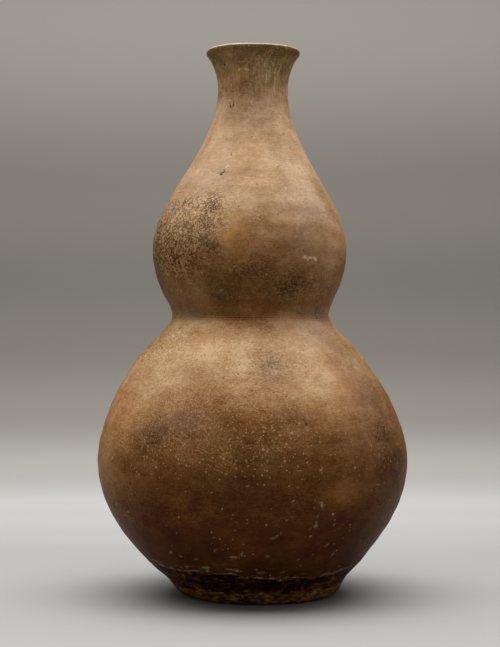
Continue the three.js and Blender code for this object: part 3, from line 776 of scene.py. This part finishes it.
def add(tree, kind, inputs=(), **settings):
    """Adds a node of a kind to a tree with its settings, and sets or links its inputs. Returns the node.

    The inputs go by name, or in the order in which the node shows them. A node that is given as an input
    stands for its first output.
    """
    made = tree.nodes.new("ShaderNode" + kind)
    for name, value in settings.items():
        setattr(made, name, value)
    if isinstance(inputs, dict):
        pairs = [(made.inputs[name], value) for name, value in inputs.items()]
    else:
        pairs = zip([socket for socket in made.inputs if socket.enabled], inputs)
    for socket, value in pairs:
        if isinstance(value, bpy.types.Node):
            value = next(output for output in value.outputs if output.enabled)
        if isinstance(value, bpy.types.NodeSocket):
            tree.links.new(value, socket)
        else:
            socket.default_value = value
    return made


def set_stops(ramp, rows):
    """Gives a colour ramp its stops, rows of place and colour from first to last."""
    stops = ramp.color_ramp.elements
    for place, _ in rows[1:-1]:
        stops.new(place)
    for stop, (place, shade) in zip(stops, rows):
        stop.position, stop.color = place, shade


def empty_material(name):
    """A material with an empty tree, and the tree."""
    material = bpy.data.materials.new(name)
    material.use_nodes = True
    material.node_tree.nodes.clear()
    return material, material.node_tree


def made_once(maker):
    """The material that a function makes, made when it is first asked for. Its name is the function's."""
    return bpy.data.materials.get(maker.__name__) or maker()


def grain(tree, size, turn=0, detail=2, roughness=0.5):
    """Noise from -0.5 to 0.5, its lumps of the given size across, deep and up in millimetres.

    The turn, in degrees, is about the depth axis.
    """
    place = add(tree, "TexCoord").outputs["Object"]
    lump = {"Vector": place, "Rotation": (0, np.radians(turn), 0), "Scale": [MM * side for side in size]}
    scaled = add(tree, "Mapping", lump, vector_type="TEXTURE")
    layers = {"Scale": 1.0, "Detail": detail, "Roughness": roughness}
    noise = add(tree, "TexNoise", {"Vector": scaled, **layers})
    return add(tree, "Math", (noise, 0.5), operation="SUBTRACT")


def grit(tree, cell, core, edge, rag, vary=0.0, strength=1.0):
    """Specks, each a soft dot in a random cell of that size, its outline made ragged by a grain.

    Returns how much of a dot a point is in, from its strength within core to 0 past edge, and its cell's
    random number. A second random number makes a dot smaller by up to vary. Sizes are in millimetres.
    """
    place = add(tree, "TexCoord").outputs["Object"]
    cells = add(tree, "TexVoronoi", {"Vector": place, "Scale": 1 / (cell * MM), "Randomness": 1.0})
    pick = add(tree, "SeparateColor", {"Color": cells.outputs["Color"]})
    away = cells.outputs["Distance"]
    for extra, amount in ((rag, 1.4), (pick.outputs["Green"], vary)):
        away = add(tree, "Math", (extra, amount / cell, away), operation="MULTIPLY_ADD")
    fade = (away, edge / cell, core / cell, 0, strength)
    dot = add(tree, "MapRange", fade, interpolation_type="SMOOTHSTEP")
    return dot, pick.outputs["Red"]


def fired_clay(tree, colour, rough, level, shine):
    """Ends a clay's tree: its colour, roughness, fine relief in millimetres and shine, on one shader."""
    bump = add(tree, "Bump", {"Height": level, "Distance": MM, "Strength": 1.0})
    finish = {"Base Color": colour, "Roughness": rough, "Specular IOR Level": shine, "Normal": bump}
    add(tree, "OutputMaterial", {"Surface": add(tree, "BsdfPrincipled", finish)})


# The fields over the surface that the burnished clay reads.
FIELDS = (
    "tone", "smoke", "ochre", "ash", "dust", "scuff", "pit", "grit", "streak", "brushed", "crown_wear_and_highlight", "bare",
    "scraped",
)


def burnished_earthenware():
    """Low-fired red clay, rubbed with a pebble before firing, then smoked, waxed and handled for years.

    To the eye it is a soft satin over a mottled body: pale where it is clean, nearly black low down, with
    soot in its pores, grit that the burnishing laid bare, and flakes where the skin has come off.
    """
    material, tree = empty_material("burnished_earthenware")
    clay = bpy.context.scene.vase_clay
    field = {key: add(tree, "Attribute", attribute_name=key).outputs["Fac"] for key in FIELDS}

    # Mottling of the clay: clouds, blotches, the pebble's level strokes and the grain of the paste.
    clouds = grain(tree, (16, 16, 11), detail=3)
    blotches = grain(tree, (4.5, 4.5, 3.2), detail=3, roughness=0.6)
    strokes = grain(tree, (7, 7, 0.9))
    paste = grain(tree, (1.5, 1.5, 1.1), detail=1)
    coarse = add(tree, "Math", (field["grit"], 0.34, 0.17), operation="MULTIPLY_ADD")

    # Down the neck the slip ran in narrow upright streaks.
    runs = grain(tree, (2.1, 2.1, 13), detail=3, roughness=0.65)
    streaks = add(tree, "MapRange", (runs, -0.08, 0.18, -0.04, 0.10))

    # A stiff brush left slanting strokes across the lower bulb.
    bristles = grain(tree, (15, 15, 0.9), turn=27)
    brushing = add(tree, "MapRange", (bristles, 0.02, 0.18, 0, 0.20))

    # Smoke settled in a net of fine creases, the level of a noise, and left the islands between them clean.
    pores = grain(tree, (3.7, 3.7, 2.9), roughness=0.6)
    away = add(tree, "Math", (pores,), operation="ABSOLUTE")
    net = add(tree, "MapRange", (away, 0, 0.09, -0.42, 0.10), interpolation_type="SMOOTHSTEP")

    tone = field["tone"]
    for pattern, amount in (
        (clouds, 0.27), (blotches, 0.22), (strokes, 0.15), (paste, coarse), (streaks, field["streak"]),
        (brushing, field["brushed"]), (net, field["smoke"]),
    ):
        tone = add(tree, "Math", (pattern, amount, tone), operation="MULTIPLY_ADD")
    colour = add(tree, "ValToRGB", (tone,))
    shades = (
        (0.0, clay.black), (0.2, clay.umber), (0.35, clay.chestnut), (0.5, clay.brown), (0.65, clay.russet),
        (0.8, clay.tan), (0.93, clay.buff), (1.0, clay.pale),
    )
    set_stops(colour, shades)

    # Where the smoke was thick, soot fills some pores as well.
    reach = add(tree, "Math", (field["smoke"], 0.34, blotches), operation="MULTIPLY_ADD")
    sooty = add(tree, "MapRange", (reach, 0.14, 0.45, 0, 0.3), interpolation_type="SMOOTHSTEP")

    # Dark iron specks, all over but few.
    iron, chance = grit(tree, 5.2, 0.40, 0.85, paste, strength=0.55)
    few = add(tree, "Math", (chance, 0.62), operation="GREATER_THAN")
    iron = add(tree, "Math", (iron, few), operation="MULTIPLY")

    # Flakes and grit are lighter on light clay than on dark clay.
    light = add(tree, "Math", (field["tone"], 1.7, -0.45), operation="MULTIPLY_ADD", use_clamp=True)
    clean = add(tree, "Mix", (field["streak"], clay.pale, clay.lip), data_type="RGBA")
    # This colour also paints the ridge's highlight, together with its bared clay.
    bared_and_highlit = add(tree, "Mix", (light, clay.scuff, clean), data_type="RGBA")

    # Pale grit: temper up to a millimetre across, more of it where the grit field is high.
    dots = 0
    for cell, core, edge, vary in ((3.4, 0.70, 1.30, 0.9), (2.1, 0.45, 0.90, 0.5)):
        dot, chance = grit(tree, cell, core, edge, paste, vary)
        kept = add(tree, "Math", (field["grit"], chance), operation="GREATER_THAN")
        dot = add(tree, "Math", (dot, kept), operation="MULTIPLY")
        dots = add(tree, "Math", (dots, dot), operation="MAXIMUM")
    strength = add(tree, "Math", (blotches, 2.3, 1.15), operation="MULTIPLY_ADD")
    temper = add(tree, "Math", (strength, dots), operation="MULTIPLY")
    warm = add(tree, "Mix", (0.9, bared_and_highlit, clay.tan), data_type="RGBA")

    # Flakes have ragged edges: the field is cut at a level that a fine noise shifts. Pits are dark.
    rag = grain(tree, (1.6, 1.6, 1.1), detail=3, roughness=0.65)
    flake = add(tree, "Math", (rag, 3.2, field["scuff"]), operation="MULTIPLY_ADD")
    flake = add(tree, "MapRange", (flake, 0.05, 0.9))
    cover = add(tree, "Math", (flake, 0.85), operation="MULTIPLY")
    hole = add(tree, "MapRange", (field["pit"], 0, 0.5, 0, 0.75))

    # The crown of the lip is worn to clean clay, more in some places than others, and its pale colour also
    # paints the highlight along the crown.
    patchy = add(tree, "Math", (blotches, 1.6, 0.9), operation="MULTIPLY_ADD", use_clamp=True)
    crown_wear_and_highlight = add(tree, "Math", (patchy, field["crown_wear_and_highlight"]), operation="MULTIPLY")

    # Inside, the clay was never rubbed.
    cloudy = add(tree, "Math", (clouds, 0.5), operation="ADD")
    unrubbed = add(tree, "Mix", (cloudy, clay.bare, clay.russet), data_type="RGBA")

    # Blushes, ash and dust change the clay's hue and leave its lightness. The rest covers it.
    for blend, amount, shade in (
        ("COLOR", field["ochre"], clay.ochre), ("COLOR", field["ash"], clay.olive),
        ("COLOR", field["dust"], clay.dust), ("MIX", sooty, clay.soot), ("MIX", iron, clay.soot),
        ("MIX", temper, warm), ("MIX", cover, bared_and_highlit), ("MIX", hole, clay.black),
        ("MIX", field["scraped"], clay.pale), ("MIX", crown_wear_and_highlight, clay.lip), ("MIX", field["bare"], unrubbed),
    ):
        colour = add(tree, "Mix", (amount, colour, shade), data_type="RGBA", blend_type=blend)

    # Satin where it was rubbed, duller on flakes, soot, wear and bare clay.
    rough = clay.gloss
    for part, amount in (
        (blotches, 0.16), (flake, 0.25), (sooty, 0.12), (crown_wear_and_highlight, 0.15), (field["bare"], 0.35),
    ):
        rough = add(tree, "Math", (part, amount, rough), operation="MULTIPLY_ADD")

    # Fine relief in millimetres: strokes, paste and pores, grit proud, flakes and soot sunk.
    level = 0
    for part, amount in (
        (strokes, 0.05), (paste, 0.16), (pores, 0.08), (dots, 0.10), (flake, -0.12), (sooty, -0.05),
    ):
        level = add(tree, "Math", (part, amount, level), operation="MULTIPLY_ADD")
    fired_clay(tree, colour, rough, level, 0.04)
    return material


def bare_earthenware():
    """The same red clay, wiped with a wet hand and never rubbed: dull, open and gritty, with drag marks."""
    material, tree = empty_material("bare_earthenware")
    clay = bpy.context.scene.vase_clay
    clouds = grain(tree, (14, 14, 8), detail=3)
    wipes = grain(tree, (9, 9, 0.8))
    paste = grain(tree, (1.4, 1.4, 1.2), roughness=0.6)
    cloudy = add(tree, "Math", (clouds, 0.5), operation="ADD")
    colour = add(tree, "ValToRGB", (cloudy,))
    set_stops(colour, ((0.3, clay.brown), (0.5, clay.bare), (0.7, clay.tan)))
    drag = add(tree, "MapRange", (wipes, 0, 0.2, 0, 0.3))
    dot, _ = grit(tree, 3.0, 0.35, 0.85, paste, strength=0.5)
    for amount, shade in ((drag, clay.chestnut), (dot, clay.scuff)):
        colour = add(tree, "Mix", (amount, colour, shade), data_type="RGBA")
    rough = add(tree, "Math", (paste, 0.2, 0.85), operation="MULTIPLY_ADD")
    level = add(tree, "Math", (paste, 0.3), operation="MULTIPLY")
    level = add(tree, "Math", (wipes, 0.15, level), operation="MULTIPLY_ADD")
    fired_clay(tree, colour, rough, level, 0.5)
    return material


# Tones of the paper along the sweep, as metres from the pot's axis and how light it is there: painted light
# and shade, lightest just behind the pot and darker where the paper turns upright.
PAPER_PAINTED_LIGHT = (
    (-0.2, 0.49), (0.05, 0.465), (0.25, 0.45), (0.4, 0.505), (0.55, 0.58), (0.75, 0.665),
    (0.95, 0.53), (1.15, 0.34), (1.32, 0.26), (1.46, 0.235), (1.65, 0.295), (2.0, 0.56),
)

# Where along it the tint of the flat paper turns to the warmer, painted tint of the upright paper, in metres.
PAPER_TURNS = (0.7, 1.2)


def matte_paper():
    """Seamless paper: matte and even across its width, with painted light and shade along it, lightest just
    behind the pot and painted darker where it turns upright.

    A camera behind the sheet looks through it, so the sheet hides no side of the pot.
    """
    material, tree = empty_material("seamless_paper")
    stage = bpy.context.scene.vase_stage
    places, painted_light_levels = np.transpose(PAPER_PAINTED_LIGHT)
    along = add(tree, "Attribute", attribute_name="run").outputs["Fac"]
    share = add(tree, "MapRange", (along, places[0], places[-1]))
    colour = add(tree, "ValToRGB", (share,))
    colour.color_ramp.interpolation = "EASE"
    upright = np.interp(places, PAPER_TURNS, (0, 1))[:, None]
    tints = np.array(stage.paper) + (np.array(stage.shade) - stage.paper) * upright
    tints[:, :3] *= painted_light_levels[:, None]
    set_stops(colour, list(zip((places - places[0]) / np.ptp(places), tints)))
    paper = add(tree, "BsdfPrincipled", {"Base Color": colour, "Roughness": 0.9})
    back = add(tree, "NewGeometry").outputs["Backfacing"]
    seen = add(tree, "LightPath").outputs["Is Camera Ray"]
    clear = add(tree, "Math", (back, seen), operation="MULTIPLY")
    sheet = add(tree, "MixShader", (clear, paper, add(tree, "BsdfTransparent")))
    add(tree, "OutputMaterial", {"Surface": sheet})
    return material


# The paper sweep, in metres: front edge, start of the bend, the bend's radius, top and half width.
SWEEP_FRONT, SWEEP_BACK, SWEEP_BEND, SWEEP_TOP, SWEEP_HALF_WIDTH = -2.6, 0.75, 0.75, 3.2, 3.0

# The overhead lamp, in metres: its width, its depth and its place.
LAMP_WIDTH, LAMP_DEPTH = 2.05, 1.35
LAMP_PLACE = (-0.08, 0.05, 1.32)


class VASE_OT_stage(bpy.types.Operator):
    """Makes the camera, the paper sweep, the soft lamp and the light of the room"""

    bl_idname = "vase.stage"
    bl_label = "Stage"

    def execute(self, context):
        sizes = context.scene.vase_stage
        self.make_camera(context, sizes)
        self.make_sweep()
        self.make_lights(context, sizes)
        return {"FINISHED"}

    def make_camera(self, context, sizes):
        """A camera that looks level along +Y, tilted up a little, from the photograph's place."""
        camera = bpy.data.objects.new("camera", bpy.data.cameras.new("camera"))
        camera.data.lens = sizes.lens
        camera.location = (sizes.side, -sizes.distance, sizes.height)
        camera.rotation_euler = (np.radians(90 + sizes.tilt), 0, 0)
        context.scene.collection.objects.link(camera)
        context.scene.camera = camera

    def make_sweep(self):
        """A sheet that lies flat, turns up behind the pot on a quarter circle and stands upright.

        Its rows carry how far along the sheet they lie, counted from the pot's axis.
        """
        turn = np.linspace(0, np.pi / 2, 40)
        end = SWEEP_BACK + SWEEP_BEND * np.pi / 2 + SWEEP_TOP - SWEEP_BEND
        depth = [SWEEP_FRONT, 0, *(SWEEP_BACK + SWEEP_BEND * np.sin(turn)), SWEEP_BACK + SWEEP_BEND]
        height = [0, 0, *(SWEEP_BEND - SWEEP_BEND * np.cos(turn)), SWEEP_TOP]
        along = [SWEEP_FRONT, 0, *(SWEEP_BACK + SWEEP_BEND * turn), end]
        across = np.tile([-SWEEP_HALF_WIDTH, SWEEP_HALF_WIDTH], len(depth))
        place = np.stack([across, np.repeat(depth, 2), np.repeat(height, 2)], -1)
        faces = 2 * np.arange(len(depth) - 1)[:, None] + [0, 1, 3, 2]
        sweep = mesh_object("paper_sweep", place / MM, faces.tolist(), matte_paper())
        marked = sweep.data.attributes.new("run", "FLOAT", "POINT")
        marked.data.foreach_set("value", np.repeat(along, 2).astype(np.float32))

    def make_lights(self, context, sizes):
        """One large soft lamp overhead, and the even light of the room."""
        lamp = bpy.data.lights.new("overhead", "AREA")
        lamp.shape, lamp.size, lamp.size_y = "RECTANGLE", LAMP_WIDTH, LAMP_DEPTH
        lamp.energy = sizes.overhead
        overhead = bpy.data.objects.new("overhead", lamp)
        overhead.location = LAMP_PLACE
        context.scene.collection.objects.link(overhead)
        world = bpy.data.worlds.new("room")
        world.use_nodes = True
        world.node_tree.nodes["Background"].inputs["Color"].default_value = (1, 1, 1, 1)
        world.node_tree.nodes["Background"].inputs["Strength"].default_value = sizes.sky
        context.scene.world = world
        context.scene.view_settings.view_transform = "Standard"


def dress(piece, node):
    """A finished piece stands for its node and rides with the pot, and the node is hidden."""
    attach(piece, BODY)
    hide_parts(node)


# The worn heel: how far the sole and its rounded edge lie past the ring's inner edge, then how far within
# the ankle's radius two places on the heel lie, and the heights of the edge and of those places.
SOLE_WIDTH, SOLE_EDGE, HEEL_INSETS = 5.5, 9.8, (5.4, 2.6)
HEEL_HEIGHTS = (0.45, 2.0, 5.0)


class VASE_OT_foot(bpy.types.Operator):
    """Makes the foot ring and the base disc that lies on it"""

    bl_idname = "vase.foot"
    bl_label = "Foot"

    def execute(self, context):
        self.foot_ring()
        self.base_disc()
        return {"FINISHED"}

    def foot_ring(self):
        """The ring's outside rises from the floor over a worn heel to the ankle. The rest is bare and flat.

        The outside is a spline of radius and one of height along the chord through five places on the heel.
        Its last point takes the bowl's lean, so the two meet without a step.
        """
        rings = node_rings("foot_ring")
        inner_edge, ankle = rings[0, 3], rings[-1, 2]
        insets = (ankle - inset for inset in HEEL_INSETS)
        radius = np.array([inner_edge + SOLE_WIDTH, inner_edge + SOLE_EDGE, *insets, ankle])
        height = np.array([0, *HEEL_HEIGHTS, ANKLE])
        chord = np.concatenate([[0], np.cumsum(np.hypot(np.diff(radius), np.diff(height)))])
        across, up = smooth_curve(chord, radius), smooth_curve(chord, height)
        along = np.linspace(0, chord[-1], 24)
        radial, rise = up(along, slope=True), -across(along, slope=True)
        radial[-1], rise[-1] = 1, -OUTER(ANKLE, slope=True)
        length = np.hypot(radial, rise)
        unrubbed = 1 - step(up(along), 0.2, 1.4)
        outside = run(across(along), up(along), radial / length, rise / length, 1, unrubbed)
        inner, bevel = rings[:, 3].min(), rings[1, 0]
        hollow = run(inner, np.linspace(ANKLE, bevel, 6), -1, 0, 0, 1)
        sole = run(np.linspace(inner_edge, radius[0] - 0.4, 5), 0, 0, -1, 0, 1)
        clay = made_once(burnished_earthenware)
        dress(ring_solid("worn_foot_ring", [outside, hollow, sole], clay, (2,)), "foot_ring")

    def base_disc(self):
        """The disc: flat above, with turning marks below, a wave of the radius that shifts in a spiral."""
        rings = node_rings("base_disc")
        edge = smooth_curve(rings[:, 0], rings[:, 2])
        low, high = rings[0, 0], rings[-1, 0]
        under = np.linspace(2, rings[0, 2], 40)
        side = np.linspace(low, high, 8)[1:]
        over = np.linspace(rings[-1, 2], 2, 30)[1:]
        radius = np.concatenate([under, edge(side), over])
        height = np.concatenate([np.full_like(under, low), side, np.full_like(over, high)])
        angle, row = np.meshgrid(ring_angles()[::2], np.arange(len(radius)))
        place = ring_place(radius[row], height[row], angle)
        grooves = 0.45 * wave(radius[row] / TURNING_PITCH + angle / 360)
        free = (row < len(under)) * step(radius[row], 3, 8) * step(-radius[row], -47, -43)
        place[..., 2] += free * (grooves + 0.35 * (1 + layered_noise(place, 22, 81)) / 2)
        poles = [[CENTRE(low), 0, low], [CENTRE(high), 0, high]]
        piece = grid_object("turned_base_disc", place, {}, made_once(bare_earthenware), poles=poles)
        dress(piece, "base_disc")


class VASE_OT_thrown_walls(bpy.types.Operator):
    """Makes the thrown pieces of the wall: both halves of each bulb, and the neck"""

    bl_idname = "vase.thrown_walls"
    bl_label = "Thrown walls"

    def execute(self, context):
        material = made_once(burnished_earthenware)
        sizes = context.scene.vase_surface
        for node in WALL_NODES:
            low, high = (corner[2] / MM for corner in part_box(node))
            outside = row_heights(OUTER, low, high, sizes.cell, FINE_ROWS)
            inside = row_heights(INNER, low, high, sizes.inner_cell)[::-1]
            unrubbed = step(TOP - inside, 10, 45)
            runs = [wall_run(OUTER, outside, 1, 1, 0), wall_run(INNER, inside, -1, 0, unrubbed)]
            dress(ring_solid("burnished_" + node, runs, material), node)
        return {"FINISHED"}


# How wide a thumb mark on a coil is, and how much of the coil's bulge it takes.
THUMB_WIDTH, THUMB_SHARE = 16, 0.33


class VASE_OT_luting_coils(bpy.types.Operator):
    """Makes the coils of clay that were pressed over the seams inside"""

    bl_idname = "vase.luting_coils"
    bl_label = "Luting coils"

    def execute(self, context):
        material = made_once(bare_earthenware)
        for node in COIL_NODES:
            self.coil(node, material)
        return {"FINISHED"}

    def coil(self, node, material):
        """A coil: its back lies just off the wall, and its face is pressed into shallow thumb marks.

        Its thickness is an edge, plus a bulge times the half wave of its height, or for the base coil a
        wedge that runs out upwards. A thumb mark takes a share of the bulge.
        """
        rings = node_rings(node)
        low, high = rings[0, 0], rings[-1, 0]
        back_gap = (INNER(rings[:, 0]) - rings[:, 2]).min()
        edge = rings[-1, 2] - rings[-1, 3]
        bulge = (rings[:, 2] - rings[:, 3]).max() - edge
        share = np.linspace(0, 1, 16)
        height = low + (high - low) * share
        angle, row = np.meshgrid(ring_angles()[::2], np.arange(len(share)))
        back = INNER(height)[row] - back_gap
        hump = np.sin(np.pi * share)
        body = 1 - share if node == BASE_COIL else hump
        presses = round(TURN * back.mean() / THUMB_WIDTH)
        place = ring_place(back, height[row], angle)
        drift = 1.5 * lattice_noise(place * [1, 1, 0], 45, 91) / TURN
        pressed = THUMB_SHARE * wave(presses * angle / 360 + drift + 0.25) * hump[row]
        face = ring_place(back - edge - bulge * body[row] * (1 - pressed), height[row], angle)
        rows = np.concatenate([place, face[::-1]])
        piece = grid_object("pressed_" + node, rows, {}, material, (len(share) - 1, 2 * len(share) - 1))
        dress(piece, node)


# The power that squares off the lip's outer rounding.
LIP_SQUARENESS = 0.45


class VASE_OT_lip(bpy.types.Operator):
    """Makes the lip coil, rounded over and worn along its crown"""

    bl_idname = "vase.lip"
    bl_label = "Lip"

    def execute(self, context):
        """The crown goes over on a squared-off quarter ellipse outside, and back inside on a plain one."""
        edge, flat = straight_lip()[-1], node_rings("lip_coil")[-1]
        rise = TOP - edge[0]
        outside = row_heights(OUTER, LIP_SEAM, edge[0], 0.6)
        inside = row_heights(INNER, LIP_SEAM, edge[0], 1.0)[::-1]
        turn = np.radians(np.linspace(2, 90, 12))
        c, s = np.cos(turn), np.sin(turn)
        square_c, square_s = c**LIP_SQUARENESS, s**LIP_SQUARENESS
        outer_round = run(flat[2] + (edge[2] - flat[2]) * square_c, edge[0] + rise * square_s, c, s, 1, 0)
        c, s = c[::-1], s[::-1]
        fading = np.linspace(1, 0, len(turn))
        inner_round = run(flat[3] - (flat[3] - edge[3]) * c, edge[0] + rise * s, -c, s, fading, 0)
        up, down = wall_run(OUTER, outside, 1, 1, 0), wall_run(INNER, inside, -1, 0, 0)
        clay = made_once(burnished_earthenware)
        dress(ring_solid("worn_lip", [up, outer_round, inner_round, down], clay, (0, 1, 2)), "lip_coil")
        return {"FINISHED"}


class VASE_PT_panel(bpy.types.Panel):
    """The vase's pieces and stage, in the sidebar of the 3D view"""

    bl_label = "Double Gourd Vase"
    bl_idname = "VASE_PT_panel"
    bl_space_type = "VIEW_3D"
    bl_region_type = "UI"
    bl_category = "Vase"

    def draw(self, context):
        for operator in OPERATORS:
            self.layout.operator(operator.bl_idname)
        for group in GROUPS:
            box = self.layout.box()
            settings = getattr(context.scene, group)
            for name in settings.bl_rna.properties.keys():
                if name not in ("rna_type", "name"):
                    box.prop(settings, name)


GROUPS = {"vase_clay": VaseClay, "vase_surface": VaseSurface, "vase_stage": VaseStage}
OPERATORS = (VASE_OT_stage, VASE_OT_foot, VASE_OT_thrown_walls, VASE_OT_luting_coils, VASE_OT_lip)


def register():
    """Registers the settings, the operators and the panel."""
    for name, group in GROUPS.items():
        bpy.utils.register_class(group)
        setattr(bpy.types.Scene, name, PointerProperty(type=group))
    for kind in (*OPERATORS, VASE_PT_panel):
        bpy.utils.register_class(kind)


def unregister():
    """Takes them out again, last ones first."""
    for kind in (VASE_PT_panel, *reversed(OPERATORS)):
        bpy.utils.unregister_class(kind)
    for name, group in reversed(GROUPS.items()):
        delattr(bpy.types.Scene, name)
        bpy.utils.unregister_class(group)


def main():
    """Makes the stage and every piece in turn."""
    register()
    for operator in OPERATORS:
        group, name = operator.bl_idname.split(".")
        getattr(getattr(bpy.ops, group), name)()


if __name__ == "__main__":
    main()
